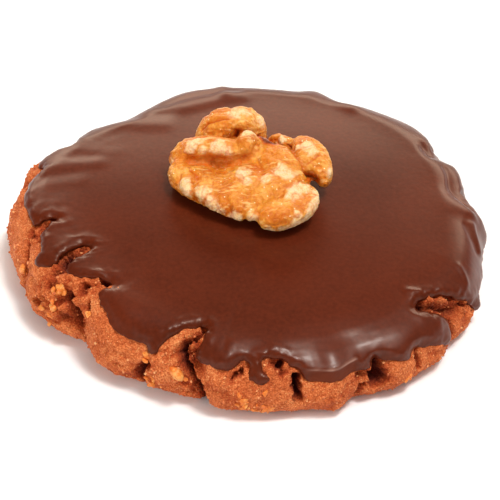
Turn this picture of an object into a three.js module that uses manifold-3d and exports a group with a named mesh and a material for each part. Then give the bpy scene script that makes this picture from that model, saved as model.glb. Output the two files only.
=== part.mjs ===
// An afghan biscuit: a thick, craggy round of chocolate and cornflake dough, a coat of
// chocolate icing that has run over its rim, and half a walnut pressed on while it was wet.
// Millimetres, +Z up, origin at the centre of the base, the front towards -Y.

import * as THREE from 'three';
import { mergeVertices } from 'three/addons/utils/BufferGeometryUtils.js';
import Module from 'manifold-3d';

// Round of dough. Arc lengths run from the top centre, down the side and under the base.
const DOUGH_RADIUS = 42;
const CROWN_RADIUS = 35; // where the low dome turns down into the side
const CENTRE_HEIGHT = 15.2;
const CROWN_HEIGHT = 13.4;
const FOOT_RADIUS = 4.5; // rounding between the side and the flat base
const LEAN = 0.08; // share by which the left side is thicker and the right side thinner
const OUTLINE_WAVES = [ // waves round the edge, height of a wave, angle of a crest
  [2, 0.8, -27],
  [3, 1.4, 57],
  [4, 0.45, -5],
  [5, 0.5, 29],
  [6, 0.3, -19],
];

// Cracks that split the side into lumps: angle and arc at the top, the same at the bottom,
// half width and depth
const CRACKS = [
  [185.5, 40, 196, 52, 1.3, 2.2],
  [215, 42, 220.5, 53, 1.4, 2.0],
  [238, 44.5, 241, 53, 1.3, 2.2],
  [251, 40, 257, 52, 1.4, 2.4],
  [279.3, 43.5, 280, 48, 1.2, 3.0],
  [290, 48, 288, 53, 1.5, 1.6],
  [301.5, 43.5, 297, 50, 1.5, 3.0],
  [326, 44, 325, 53, 1.3, 1.8],
  [352, 48, 354, 53, 1.3, 1.6],
  [18, 46, 21, 53, 1.3, 2.0],
  [47, 44, 44, 53, 1.4, 2.2],
  [72, 45, 75, 53, 1.3, 1.8],
  [98, 44, 96, 53, 1.4, 2.2],
  [122, 43, 125, 53, 1.3, 2.0],
  [147, 41, 146, 53, 1.4, 2.0],
  [165, 40, 168, 52, 1.3, 1.6],
];
const LUMP_SWELL = 0.9; // how far a lump stands out from its cracks
const LUMP_REACH = 6; // distance from a crack to the full swell
const LUMP_LEVEL = 0.6; // share of the swell that brings it level with the plain round
const SIDE_START = 36; // arc at which the lumps begin to show
const SIDE_FULL = 43; // arc from which they have their full swell
const FOOT_FADE = 3.5; // arc over which lumps and cracks die out above the flat base

// Coat of icing
const ICING = 1.2;
const SEAT = 1.4; // depth by which the dough lies lower under the coat
const SEAT_INSIDE = 3; // the seat runs out from this far inside the coat's edge
const SEAT_OUTSIDE = 4; // to this far outside it
const LIP = 1.6; // width of the rounded edge
const GAP = 0.38; // clearance between one piece and the next
const COAT_EDGE = [ // angle and arc length of the edge, read round the biscuit
  [0, 47.5],
  [45, 45.5],
  [90, 46],
  [125, 44.5],
  [150, 40.5],
  [170, 40.2],
  [190, 39.2],
  [206, 38.8],
  [220, 39.5],
  [236, 42.4],
  [262, 42.8],
  [290, 43],
  [316, 44.8],
  [340, 47],
];
const DRIPS = [ // angle, extra length and half width of each run of icing
  [197, 2.0, 1.8],
  [243.5, 0.9, 1.6],
  [271, 1.6, 1.6],
  [320.5, 1.6, 2.2],
  [339.5, 1.6, 1.8],
  [20, 1.6, 2.4],
  [62, 2.2, 2.2],
  [106, 1.8, 2.4],
  [133, 1.4, 2.0],
];
const NOTCHES = [ // bays in the edge: angle, arc and radius at the mouth, the same at the tip
  [206.5, 41.5, 1.7, 200.8, 31.4, 0.7],
  [191, 41, 1.0, 183.5, 34.0, 0.6],
  [214, 43, 2.4, 220.3, 37.2, 1.2],
  [248.6, 45, 3.9, 255.6, 34.6, 0.8],
  [266.3, 45, 1.1, 267.8, 41.6, 0.8],
  [276.5, 45, 1.5, 275.4, 41.2, 1.4],
  [301, 46.5, 1.4, 300.8, 43.6, 1.0],
  [312.5, 47.5, 1.6, 311.5, 45.0, 1.1],
  [333, 49.5, 3.0, 322, 37.4, 0.9],
  [33, 49, 1.6, 34.5, 42.5, 0.9],
  [84, 49, 1.8, 83, 42.6, 1.0],
  [149, 43.5, 2.0, 149.5, 40.0, 1.4],
  [162.5, 44, 1.8, 163.2, 39.6, 1.2],
];

// Half walnut: each lobe runs along a short path, with its half width and half height
const LOBES = [
  { path: [[-13.6, 8.2, 16.2], [-6.2, 2, 16.6], [2.5, -4.4, 16.6]], half: [5.1, 4.6] },
  { path: [[-3.5, -1.8, 17], [4.5, -3.2, 17.6], [11.2, -2, 17]], half: [6.4, 5.6] },
  { path: [[-12, 6.5, 16.4], [0, 4.6, 17], [10.5, 3, 16.6]], half: [7.4, 4.8] },
  { path: [[-15, 6.2, 17.8], [-11.8, 8.8, 20.2], [-6.5, 7.8, 20.8], [1.5, 2.6, 20.6]], half: [3, 3] },
  { path: [[-11.6, 11, 17.4], [-4, 13.8, 19.4], [4, 11.8, 17.8]], half: [4.3, 5.4] },
  { path: [[-4.4, 9.4, 20.6], [-1, 7.6, 22.2], [1.6, 4.6, 21.6]], half: [2.3, 2.5] },
  { path: [[0.5, 11.6, 19.4], [5, 10.2, 20.2], [8.6, 7.6, 19.6]], half: [1.8, 2.8] },
  { path: [[4.8, 9.8, 19.4], [10, 6, 20], [13.6, 0.4, 18.6]], half: [2.8, 3.3] },
];
const TRIM_RADIUS = 24; // size of the block that trims the walnut's underside
const TRIM_DEPTH = 8;

const BAYS_START = 28; // no bay reaches further in than this arc
const BAY_SLOPE = 5; // steepest rise of the icing's edge along the side of a bay
const EDGE_STEP = 0.5; // degrees between the lines on which the edge is worked out
const PLAIN_STEP = 4; // degrees between columns where the edge is even
const EDGE_RUN = 1.2; // rise or fall of the edge that calls for a further column

const { smoothstep, clamp, degToRad, radToDeg, euclideanModulo } = THREE.MathUtils;
const SHOULDER = DOUGH_RADIUS - CROWN_RADIUS;
const SHOULDER_DROP = CROWN_HEIGHT - FOOT_RADIUS;
const SHOULDER_ARC = (Math.PI / 2) * Math.hypot(SHOULDER, SHOULDER_DROP) / Math.SQRT2;
const WAIST_ARC = CROWN_RADIUS + SHOULDER_ARC; // the widest line of the side
const BASE_ARC = WAIST_ARC + (Math.PI / 2) * FOOT_RADIUS;
const BASE_RADIUS = DOUGH_RADIUS - FOOT_RADIUS;
const MM_PER_DEGREE = degToRad(DOUGH_RADIUS);

const wasm = await Module();
wasm.setup();

// Section of the plain round: radius and height, then the two parts of the outward normal.
function section(arc) {
  if (arc <= CROWN_RADIUS) {
    const fall = (CENTRE_HEIGHT - CROWN_HEIGHT) * (arc / CROWN_RADIUS) ** 2;
    return [arc, CENTRE_HEIGHT - fall, 0, 1];
  }
  if (arc <= WAIST_ARC) {
    const turn = ((arc - CROWN_RADIUS) / SHOULDER_ARC) * (Math.PI / 2);
    const [s, c] = [Math.sin(turn), Math.cos(turn)];
    const normal = new THREE.Vector2(SHOULDER_DROP * s, SHOULDER * c).normalize();
    return [CROWN_RADIUS + SHOULDER * s, FOOT_RADIUS + SHOULDER_DROP * c, normal.x, normal.y];
  }
  if (arc <= BASE_ARC) {
    const turn = (arc - WAIST_ARC) / FOOT_RADIUS;
    const [s, c] = [Math.sin(turn), Math.cos(turn)];
    return [BASE_RADIUS + FOOT_RADIUS * c, FOOT_RADIUS - FOOT_RADIUS * s, c, -s];
  }
  return [BASE_RADIUS + BASE_ARC - arc, 0, 0, -1];
}

function outlineShare(theta) {
  let swing = 0;
  for (const [count, height, crest] of OUTLINE_WAVES) {
    swing += height * Math.cos(count * (theta - degToRad(crest)));
  }
  return 1 + swing / DOUGH_RADIUS;
}

// Point on the round at an angle and arc length, stood off from the plain surface.
function pointOn(theta, arc, standoff) {
  const [radius, height, outward, upward] = section(arc);
  const reach = radius * outlineShare(theta) + standoff * outward;
  const lean = LEAN * Math.cos(theta) * (radius / DOUGH_RADIUS);
  const z = height * (1 - lean) + standoff * upward;
  return new THREE.Vector3(reach * Math.cos(theta), reach * Math.sin(theta), Math.max(z, 0));
}

function degreesApart(a, b) {
  return euclideanModulo(a - b + 180, 360) - 180;
}

function distanceToCrack(theta, arc, [topAngle, topArc, bottomAngle, bottomArc]) {
  const x = degreesApart(radToDeg(theta), topAngle) * MM_PER_DEGREE;
  const y = arc - topArc;
  const run = (bottomAngle - topAngle) * MM_PER_DEGREE;
  const drop = bottomArc - topArc;
  const along = clamp((x * run + y * drop) / (run * run + drop * drop), 0, 1);
  return Math.hypot(x - along * run, y - along * drop);
}

// Arc length that the icing reaches at an angle, before its drips and bays.
function coatLevel(angle) {
  const next = COAT_EDGE.findIndex(([at]) => at > angle);
  const [toAngle, toArc] = next < 0 ? [360, COAT_EDGE[0][1]] : COAT_EDGE[next];
  const [fromAngle, fromArc] = COAT_EDGE.at(next < 0 ? -1 : next - 1);
  return fromArc + (toArc - fromArc) * smoothstep(angle, fromAngle, toAngle);
}

// Standoff of the dough before it cracked: its seat under the icing, and the swell of its lumps.
function skin(theta, arc) {
  const nearest = Math.min(...CRACKS.map((crack) => distanceToCrack(theta, arc, crack)));
  const swell = LUMP_SWELL * (smoothstep(nearest, 0, LUMP_REACH) - LUMP_LEVEL);
  const level = coatLevel(euclideanModulo(radToDeg(theta), 360));
  const seat = SEAT * (1 - smoothstep(arc, level - SEAT_INSIDE, level + SEAT_OUTSIDE));
  return swell * smoothstep(arc, SIDE_START, SIDE_FULL) * aboveFoot(arc) - seat;
}

function crackDepth(theta, arc) {
  const depths = CRACKS.map((crack) => {
    const [halfWidth, depth] = crack.slice(4);
    return depth * Math.exp(-((distanceToCrack(theta, arc, crack) / halfWidth) ** 2));
  });
  return Math.max(...depths) * aboveFoot(arc);
}

function aboveFoot(arc) {
  return 1 - smoothstep(arc, BASE_ARC - FOOT_FADE, BASE_ARC);
}

// Closed round body turned from rows of points, listed from the top centre to the underside.
// Each point is then moved to its true place at its column's angle.
function turned(rows, angles, place) {
  const upwards = rows.toReversed();
  const profile = upwards.map((row, index) => new THREE.Vector2(0, index));
  const geometry = new THREE.LatheGeometry(profile, angles.length);
  const position = geometry.getAttribute('position');
  for (let index = 0; index < position.count; index += 1) {
    const angle = angles[Math.floor(index / rows.length) % angles.length];
    const point = place(degToRad(angle), upwards[index % rows.length], angle);
    position.setXYZ(index, point.x, point.y, point.z);
  }
  return shared(geometry);
}

function everyDegrees(step) {
  return Array.from({ length: 360 / step }, (unused, index) => index * step);
}

// The geometry with coincident points shared, and with no triangle that has lost its area.
function shared(geometry) {
  geometry.deleteAttribute('normal');
  geometry.deleteAttribute('uv');
  const merged = mergeVertices(geometry, 1e-4);
  const corners = merged.getIndex().array;
  const kept = [];
  for (let i = 0; i < corners.length; i += 3) {
    const [a, b, c] = corners.slice(i, i + 3);
    if (a !== b && b !== c && c !== a) kept.push(a, b, c);
  }
  merged.setIndex(kept);
  return merged;
}

function toSolid(geometry) {
  const vertProperties = new Float32Array(geometry.getAttribute('position').array);
  const triVerts = new Uint32Array(geometry.getIndex().array);
  return new wasm.Manifold(new wasm.Mesh({ numProp: 3, vertProperties, triVerts }));
}

function toGeometry(solid) {
  const { vertProperties, triVerts } = solid.getMesh();
  const geometry = new THREE.BufferGeometry();
  geometry.setAttribute('position', new THREE.BufferAttribute(new Float32Array(vertProperties), 3));
  geometry.setIndex(new THREE.BufferAttribute(new Uint32Array(triVerts), 1));
  return geometry;
}

function piece(name, geometry, color, roughness) {
  geometry.computeVertexNormals();
  const mesh = new THREE.Mesh(geometry, new THREE.MeshStandardMaterial({ color, roughness, metalness: 0 }));
  mesh.name = name;
  return mesh;
}

// Dough: a few wide rows under the icing, close rows down the cracked side, then the flat base.
function doughGeometry() {
  const rows = [0, 14, 25, 31, 34.5, 37];
  for (let arc = 38.5; arc < BASE_ARC - 1; arc += 1.5) rows.push(arc);
  rows.push(BASE_ARC, BASE_ARC + BASE_RADIUS);
  const standoff = (theta, arc) => skin(theta, arc) - crackDepth(theta, arc);
  return turned(rows, everyDegrees(2), (theta, arc) => pointOn(theta, arc, standoff(theta, arc)));
}

// Whether a spot lies in a bay: a round-ended slot that tapers from its mouth to its tip.
function inBay(theta, arc, [mouthAngle, mouthArc, mouthRadius, tipAngle, tipArc, tipRadius]) {
  const spot = onPlan(theta, arc);
  const mouth = onPlan(degToRad(mouthAngle), mouthArc);
  const run = onPlan(degToRad(tipAngle), tipArc).sub(mouth);
  const along = clamp(spot.clone().sub(mouth).dot(run) / run.lengthSq(), 0, 1);
  const radius = mouthRadius + (tipRadius - mouthRadius) * along;
  return spot.distanceTo(mouth.addScaledVector(run, along)) < radius;
}

function onPlan(theta, arc) {
  return new THREE.Vector2(arc * Math.cos(theta), arc * Math.sin(theta));
}

// Arc length at which the icing ends on one line: its level with the drips, or the first bay.
function edgeOnLine(angle) {
  const drips = DRIPS.map(([at, length, width]) => {
    const aside = (degreesApart(angle, at) * MM_PER_DEGREE) / width;
    return length * Math.exp(-(aside ** 2));
  });
  const limit = coatLevel(angle) + Math.max(...drips);
  let arc = BAYS_START;
  while (arc < limit && !NOTCHES.some((notch) => inBay(degToRad(angle), arc, notch))) arc += 0.1;
  return Math.min(arc, limit);
}

// The whole edge as [angle, arc] columns. The sides of a bay are never steeper than BAY_SLOPE,
// and columns stand close together only where the edge runs off.
function coatEdge() {
  const lines = everyDegrees(EDGE_STEP).map((angle) => [angle, edgeOnLine(angle)]);
  const eased = lines.map(([angle]) => {
    const slope = BAY_SLOPE * MM_PER_DEGREE;
    const reach = lines.map(([at, arc]) => arc + slope * Math.abs(degreesApart(angle, at)));
    return [angle, Math.min(...reach)];
  });
  const columns = [];
  for (const [angle, arc] of eased) {
    const [lastAngle, lastArc] = columns.at(-1) ?? [-360, 0];
    if (angle - lastAngle >= PLAIN_STEP || Math.abs(arc - lastArc) > EDGE_RUN) columns.push([angle, arc]);
  }
  return columns;
}

// Icing: one coat moulded over the dough, thinning to nothing round its lip.
function icingGeometry() {
  const edge = new Map(coatEdge());
  const shares = [0, 0.45, 0.68, 0.76, 0.83, 0.89, 0.945, 0.985];
  const top = shares.map((share) => ({ share, upper: true }));
  const under = [...shares.slice(0, -1), 1].reverse().map((share) => ({ share, upper: false }));
  return turned([...top, ...under], [...edge.keys()], (theta, { share, upper }, angle) => {
    const arc = share * edge.get(angle);
    const inward = clamp((edge.get(angle) - arc) / LIP, 0, 1);
    const thickness = upper ? ICING * Math.sqrt(1 - (1 - inward) ** 2) : 0;
    return pointOn(theta, arc, skin(theta, arc) + GAP + thickness);
  });
}

// One lobe of the nut: a capsule bent along its path, with an upright oval section.
function lobeSolid({ path, half }) {
  const curve = new THREE.CatmullRomCurve3(path.map((point) => new THREE.Vector3(...point)));
  const geometry = new THREE.CapsuleGeometry(0.5, 1, 4, 14, 4); // 2 long, 1 across
  const position = geometry.getAttribute('position');
  const up = new THREE.Vector3(0, 0, 1);
  for (let index = 0; index < position.count; index += 1) {
    const along = clamp((1 + position.getY(index)) / 2, 0, 1);
    const side = new THREE.Vector3().crossVectors(curve.getTangent(along), up).normalize();
    const point = curve.getPoint(along);
    point.addScaledVector(side, 2 * position.getX(index) * half[0]);
    point.addScaledVector(up, 2 * position.getZ(index) * half[1]);
    position.setXYZ(index, point.x, point.y, point.z);
  }
  return toSolid(shared(geometry));
}

// Walnut: the lobes joined, then trimmed underneath to the dome of the icing.
function walnutGeometry() {
  const kernel = LOBES.map(lobeSolid).reduce((solid, lobe) => solid.add(lobe));
  const rows = [0, 1 / 3, 2 / 3, 1].map((share) => [share * TRIM_RADIUS, 0]);
  rows.push([TRIM_RADIUS, TRIM_DEPTH], [0, TRIM_DEPTH]);
  const standoff = 2 * GAP + ICING - SEAT;
  const dome = turned(rows, everyDegrees(5), (theta, [arc, sunk]) => pointOn(theta, arc, standoff - sunk));
  return toGeometry(kernel.subtract(toSolid(dome)));
}

const biscuit = new THREE.Group();
biscuit.add(piece('biscuit', doughGeometry(), '#b5602f', 0.9));
biscuit.add(piece('icing', icingGeometry(), '#5a2a1c', 0.35));
biscuit.add(piece('walnut', walnutGeometry(), '#d98a3a', 0.45));

export default biscuit;
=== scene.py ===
import math
import random

import bmesh
import bpy
import numpy as np
from mathutils import Matrix, Vector, noise


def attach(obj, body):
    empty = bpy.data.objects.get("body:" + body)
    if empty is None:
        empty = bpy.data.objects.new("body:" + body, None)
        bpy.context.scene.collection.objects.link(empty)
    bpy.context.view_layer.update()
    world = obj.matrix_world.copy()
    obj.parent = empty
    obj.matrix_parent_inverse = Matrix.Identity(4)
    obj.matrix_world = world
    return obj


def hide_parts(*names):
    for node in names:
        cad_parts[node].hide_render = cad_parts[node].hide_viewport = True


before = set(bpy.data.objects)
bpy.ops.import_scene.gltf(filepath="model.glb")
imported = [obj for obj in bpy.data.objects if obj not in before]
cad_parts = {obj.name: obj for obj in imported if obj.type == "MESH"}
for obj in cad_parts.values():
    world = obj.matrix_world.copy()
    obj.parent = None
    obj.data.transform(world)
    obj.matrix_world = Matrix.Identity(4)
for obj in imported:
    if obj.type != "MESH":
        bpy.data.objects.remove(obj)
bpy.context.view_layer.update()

# The round of dough: butter, flour, cocoa and crushed cornflakes, rolled to a ball, pressed flat
# on a tray and baked. The tray leaves its base flat, and its side splits into sandy lumps.
# Sizes are in millimetres. Arc lengths run from the top centre down the side and under the base.
MM = 0.001
DOUGH_RADIUS = 42
CROWN_RADIUS = 35
CENTRE_HEIGHT = 15.2
CROWN_HEIGHT = 13.4
FOOT_RADIUS = 4.5
# Run over which the dome turns into the shoulder
CROWN_TURN = 4.0
# Share of its height by which the round is lower at the right and higher at the left
LEAN = 0.08
# Waves of the outline: count, size, angle of a crest
OUTLINE_WAVES = [(2, 0.8, -27), (3, 1.4, 57), (4, 0.45, -5), (5, 0.5, 29), (6, 0.3, -19)]
# Bulges and dents of the outline: angle, half width in degrees, size
OUTLINE_BULGES = [
    (4, 3.5, 1.2), (13, 5, -1.2), (30, 4, -1.3), (47, 8, 0.4), (65.5, 4, -0.9), (74, 3, 0.8),
    (86, 9, -0.5), (109, 8, 0.9), (129, 6, -0.7), (147, 6, 0.6), (159, 6, 0.9), (184, 6, -0.6),
    (202, 6, 0.8), (217.5, 5, -1.4), (231.5, 5, 0.7), (253, 5, -0.8), (261, 4, 0.4), (278, 7, -0.4),
    (289, 3, 0.7), (295.6, 4, -0.9), (308, 5, 0.3), (327, 6, -0.5),
]
# Radii between which they fade in
BULGE_RIM = (CROWN_RADIUS - 3, DOUGH_RADIUS - 2)
DOME = CENTRE_HEIGHT - CROWN_HEIGHT
SHOULDER = DOUGH_RADIUS - CROWN_RADIUS
SHOULDER_DROP = CROWN_HEIGHT - FOOT_RADIUS
SHOULDER_ARC = math.pi / 2 * math.hypot(SHOULDER, SHOULDER_DROP) / math.sqrt(2)
WAIST_ARC = CROWN_RADIUS + SHOULDER_ARC
BASE_ARC = WAIST_ARC + math.pi / 2 * FOOT_RADIUS
BASE_RADIUS = DOUGH_RADIUS - FOOT_RADIUS
MM_PER_DEGREE = math.radians(DOUGH_RADIUS)

# Cracks: points by angle and arc from top to bottom, half width, depth
CRACKS = [
    ([(186, 40.4), (190, 42.4), (193, 44), (194.5, 46.2), (196, 49), (198, 55)], 0.7, 2.4),
    ([(211, 42), (215, 46), (219, 48), (221, 55)], 0.9, 2.4),
    ([(241.8, 45.8), (239.5, 47.6), (240, 51), (240.5, 55)], 0.9, 2.6),
    ([(251, 39.2), (250.3, 42.2), (252, 44.4), (255.5, 46.4), (257.5, 50), (257.5, 55)], 0.9, 2.8),
    ([(266.6, 42.4), (264.8, 43.9)], 0.45, 1.6),
    ([(280.1, 43.6), (279.9, 45.4), (280.3, 47.4)], 0.95, 4.4),
    ([(301.2, 43), (301.2, 44.8), (300.6, 46), (299.8, 48.4)], 0.9, 3.6),
    ([(299.4, 47.4), (296, 47.8), (294.9, 50)], 0.5, 1.2),
    ([(312, 45), (311.5, 48)], 0.7, 1.4),
    ([(326, 44), (325, 55)], 1.0, 2.0),
    ([(352, 48), (354, 55)], 1.1, 1.8),
    ([(18, 46), (21, 55)], 1.1, 2.2),
    ([(47, 44), (44, 50), (45.5, 55)], 1.2, 2.4),
    ([(72, 45), (75, 55)], 1.1, 2.0),
    ([(98, 44), (95, 49), (97, 55)], 1.2, 2.4),
    ([(122, 43), (125, 55)], 1.1, 2.2),
    ([(147, 41), (145, 47), (147.5, 55)], 1.2, 2.2),
    ([(165, 40), (168, 55)], 1.1, 1.8),
    ([(201.4, 32.4), (203, 36), (205, 40)], 1.6, 1.2),
    ([(185.6, 34.6), (188.5, 39)], 1.2, 1.0),
    ([(254.8, 34.9), (252.8, 38.4)], 0.9, 1.6),
    ([(320.6, 37.8), (325, 41.4), (329, 44.4)], 1.6, 1.4),
    ([(34.4, 42.6), (33.4, 46.4)], 1.0, 1.2),
    ([(83, 42.8), (84, 46.4)], 1.1, 1.2),
]
# Holes where crumbs fell out: angle, arc, radius, depth
HOLES = [
    (218.2, 35.2, 1.7, 4.2), (254.8, 34.6, 0.8, 2.4), (321, 37.4, 1.1, 3.0),
    (323.6, 39.8, 0.6, 2.2), (329.6, 41.6, 0.7, 2.2), (333, 45, 0.7, 1.8), (276.4, 41, 0.9, 2.4),
    (300.4, 46.9, 1.7, 5.0), (203.6, 46.6, 1.0, 1.8), (214.5, 39.4, 0.8, 1.6), (216, 45, 1.0, 1.8),
    (219.5, 42.2, 0.8, 1.4), (219.5, 45.2, 0.9, 1.8), (205.5, 42.8, 0.6, 1.2),
    (211.5, 42.8, 0.6, 1.2), (184.4, 34.6, 0.9, 3.4), (186, 36.6, 0.7, 3.0),
    (199.8, 32.4, 0.9, 3.8), (201, 34.6, 0.8, 3.4), (202.4, 36.8, 0.9, 3.8), (231, 50.5, 0.7, 1.2),
    (34, 44, 1.0, 2.0), (83.5, 44, 1.1, 2.2), (134, 47, 1.0, 2.0),
]
# Places where the crumb is torn open: angle, arc, reach, roughness
TORN = [
    (211, 44, 7.5, 1.0), (203, 36, 5.0, 0.9), (188, 38, 5.0, 0.8), (253, 42.5, 5.0, 0.9),
    (254.5, 47, 4.5, 0.8), (276, 41.5, 3.0, 0.7), (299, 46, 4.0, 0.7), (326, 41, 6.0, 1.0),
    (334, 45, 5.0, 0.9), (60, 50, 9.0, 0.8), (110, 49, 8.0, 0.7), (158, 46, 7.0, 0.7),
    (12, 51, 6.0, 0.6),
]
# Where they fade, as shares of their reach
TORN_EDGE = (0.4, 1)
# How torn it is elsewhere: least, and what patches add
TORN_LEAST = 0.08
TORN_PATCHES = 0.22
# Wander of the cracks and rims: reach, size
WANDER, WANDER_SIZE = 0.6, 1.4
# Foot and top of the walls, as shares of a crack's half width and a hole's radius
CRACK_WALL = (0.1, 1.15)
HOLE_WALL = (0.7, 1.1)
# How torn the walls are, and the depths between which they become so
WALL_TORN = 0.7
WALL_DEPTHS = (0.1, 1.2)
# Relief of the crumb: height, size or spacing
LUMP, LUMP_SIZE = 0.4, 6.0
CRAG, CRAG_SIZE = 2.6, 3.1
SMALL_CRAG, SMALL_CRAG_SIZE = 2.2, 1.5
RUFFLE, RUFFLE_SIZE = 0.2, 1.4
GRAIN, GRAIN_SIZE = 0.3, 0.7
# Usual distance to a bump's seed, as a share of their spacing
SEED_DISTANCE = 0.42
# Painted shade in the pits between the crags: how dark it is, against cracks of their depth
PIT_SHADE = 1.2
# Depth at which the painted shade of cracks and pits is darkest
SHADED_DEPTH = 2.6
# Swell of the lumps between cracks: height, reach from a crack, level that counts as 0
SWELL, SWELL_REACH, SWELL_LEVEL = 1.3, 5, 0.75
# Arc lengths between which the swell and the crumb fade in
SWELL_FADE = (36, 43)
CRUMB_START, CRUMB_FULL = 29, 33
FOOT_FADE = 3.5
UNDER_FADE = 8
# How far the shoulder is eased down under the hem of the icing: angle, depth
EASES = [(235, 0), (255, 0.35), (278, 0.35), (286, 0.9), (306, 0.9), (322, 0.4), (340, 0)]
EASE_ARC, EASE_RUN = 37.5, 4.5
# Distances inside and outside the icing's edge between which its seat fades out
SEAT_INSIDE, SEAT_OUTSIDE = 3, 4
# Edge of the icing before its drips and bays: angle, arc
COAT_EDGE = [
    (0, 48.6), (45, 45.5), (90, 46), (125, 44.5), (150, 40.5), (170, 40.2), (190, 39.2),
    (206, 38.8), (220, 39.5), (236, 42.4), (262, 42.6), (284, 44.4), (290, 44.8), (298, 44.6),
    (303, 44.1), (309, 45.2), (316, 45), (340, 47),
]
# Thickness of the icing near its edge: angle, thickness
COAT_DEPTHS = [
    (0, 1.2), (60, 1.2), (150, 0.8), (178, 0.42), (216, 0.45), (226, 0.8), (258, 0.8), (266, 0.7),
    (278, 0.7), (284, 1.9), (296, 1.9), (304, 1.2), (316, 0.8), (334, 0.8), (345, 1.2),
]
# Thickness on top, and the arc lengths between which it turns to that at the edge
TOP_DEPTH = 1.25
DEPTH_FADE = (27, 35)
SEAT_MARGIN = 0.15
# Share by which the columns of the mesh are packed closer together at the front
FRONT_PACK = 0.45
DOUGH_COLUMNS = 800
DOUGH_ROWS = 118
# Shares of the rows above the crumb and above the base
ROWS_TO_CRUMB, ROWS_TO_BASE = 0.1, 0.93


def smoothstep(value, low, high):
    share = np.clip((value - low) / (high - low), 0, 1)
    return share * share * (3 - 2 * share)


def bell(offset, width):
    return np.exp(-((offset / width) ** 2))


def by_angle(degrees, knots):
    """Value at each angle, straight between the (angle, value) knots around the biscuit."""
    angles, values = zip(*knots)
    return np.interp(degrees, angles, values, period=360)


def soft_noise(points, size, octaves, shift):
    """Noise of about -1 to 1 with features of a size in mm. Each shift gives another noise."""
    return np.array([noise.fractal(Vector(p), 1.0, 2.0, octaves) for p in (points / size + shift).tolist()])


def bump_noise(points, spacing, shift):
    """Rounded bumps around scattered seeds with a spacing in mm, of about -0.6 to 0.4."""
    nearest = [noise.voronoi(Vector(p))[0][0] for p in (points / spacing + shift).tolist()]
    return SEED_DISTANCE - np.array(nearest)


def degrees_apart(a, b):
    return (a - b + 180) % 360 - 180


def polar(theta, radius, *height):
    return np.stack([radius * np.cos(theta), radius * np.sin(theta), *height], axis=-1)


def round_section(arc):
    """Radius and height of the plain round at each arc length, and the way its relief stands out."""
    turn = np.clip((arc - CROWN_RADIUS) / SHOULDER_ARC, 0, 1) * math.pi / 2
    foot = np.clip((arc - WAIST_ARC) / FOOT_RADIUS, 0, math.pi / 2)
    radius = np.select(
        [arc <= CROWN_RADIUS, arc <= WAIST_ARC, arc <= BASE_ARC],
        [arc, CROWN_RADIUS + SHOULDER * np.sin(turn), BASE_RADIUS + FOOT_RADIUS * np.cos(foot)],
        BASE_RADIUS + BASE_ARC - arc,
    )
    dome = CENTRE_HEIGHT - DOME * (arc / CROWN_RADIUS) ** 2
    height = np.select(
        [arc <= CROWN_RADIUS, arc <= WAIST_ARC],
        [dome, FOOT_RADIUS + SHOULDER_DROP * np.cos(turn)],
        FOOT_RADIUS - FOOT_RADIUS * np.sin(foot),
    )
    past = arc - CROWN_RADIUS
    rounding = np.hypot(past, CROWN_TURN) - np.abs(past)
    height = height + DOME / CROWN_RADIUS * rounding
    slope = np.hypot(SHOULDER_DROP * np.sin(turn), SHOULDER * np.cos(turn))
    outward = SHOULDER_DROP * np.sin(turn) / slope * (1 - smoothstep(arc, BASE_ARC, BASE_ARC + UNDER_FADE))
    upward = SHOULDER * np.cos(turn) / slope
    return radius, height, outward, upward


def on_round(degrees, arc, standoff):
    """Points on the round at an angle and arc length, stood off from the plain surface."""
    theta = np.radians(degrees)
    radius, height, outward, upward = round_section(arc)
    swing = sum(
        wave * np.cos(count * (theta - math.radians(crest))) for count, wave, crest in OUTLINE_WAVES
    )
    bulges = sum(size * bell(degrees_apart(degrees, angle), width) for angle, width, size in OUTLINE_BULGES)
    rim = smoothstep(radius, *BULGE_RIM)
    reach = radius * (1 + swing / DOUGH_RADIUS) + bulges * rim + standoff * outward
    lean = LEAN * np.cos(theta) * radius / DOUGH_RADIUS
    z = np.maximum(height * (1 - lean) + standoff * upward, 0)
    return polar(theta, reach, z)


def from_line(points, start, end):
    """Offset of each point from a straight line, and its share of the way along the line."""
    run = np.subtract(end, start)
    along = np.clip((points - start) @ run / (run @ run), 0, 1)
    return points - start - along[:, None] * run, along


def crack_distance(degrees, arc, points):
    """Distance from the line through some places on the unrolled side."""
    nearest = np.inf
    for start, end in zip(points, points[1:]):
        side = np.column_stack([degrees_apart(degrees, start[0]) * MM_PER_DEGREE, arc])
        run = (end[0] - start[0]) * MM_PER_DEGREE
        offset, _ = from_line(side, (0, start[1]), (run, end[1]))
        nearest = np.minimum(nearest, np.linalg.norm(offset, axis=1))
    return nearest


def spot_strength(degrees, arc, spots, edge):
    """Strength of round spots given by angle, arc, radius and strength, with a soft edge."""
    strongest = np.zeros_like(arc)
    for spot_angle, spot_arc, radius, strength in spots:
        away = np.hypot(degrees_apart(degrees, spot_angle) * MM_PER_DEGREE, arc - spot_arc) / radius
        strongest = np.maximum(strongest, strength * (1 - smoothstep(away, *edge)))
    return strongest


def coat_level(degrees):
    """Arc length that the icing reaches at an angle, before its drips and bays."""
    knots = COAT_EDGE + [(COAT_EDGE[0][0] + 360, COAT_EDGE[0][1])]
    degrees = degrees % 360
    level = np.zeros_like(degrees)
    for (start, low), (end, high) in zip(knots, knots[1:]):
        here = (degrees >= start) & (degrees < end)
        level = np.where(here, low + (high - low) * smoothstep(degrees, start, end), level)
    return level


def coat_depth(degrees, arc):
    edge = by_angle(degrees, COAT_DEPTHS)
    return TOP_DEPTH + (edge - TOP_DEPTH) * smoothstep(arc, *DEPTH_FADE)


def seat_share(degrees, arc):
    """How far the dough is sunk to seat the icing: 1 under it, fading to 0 below its edge."""
    level = coat_level(degrees)
    return 1 - smoothstep(arc, level - SEAT_INSIDE, level + SEAT_OUTSIDE)


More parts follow.
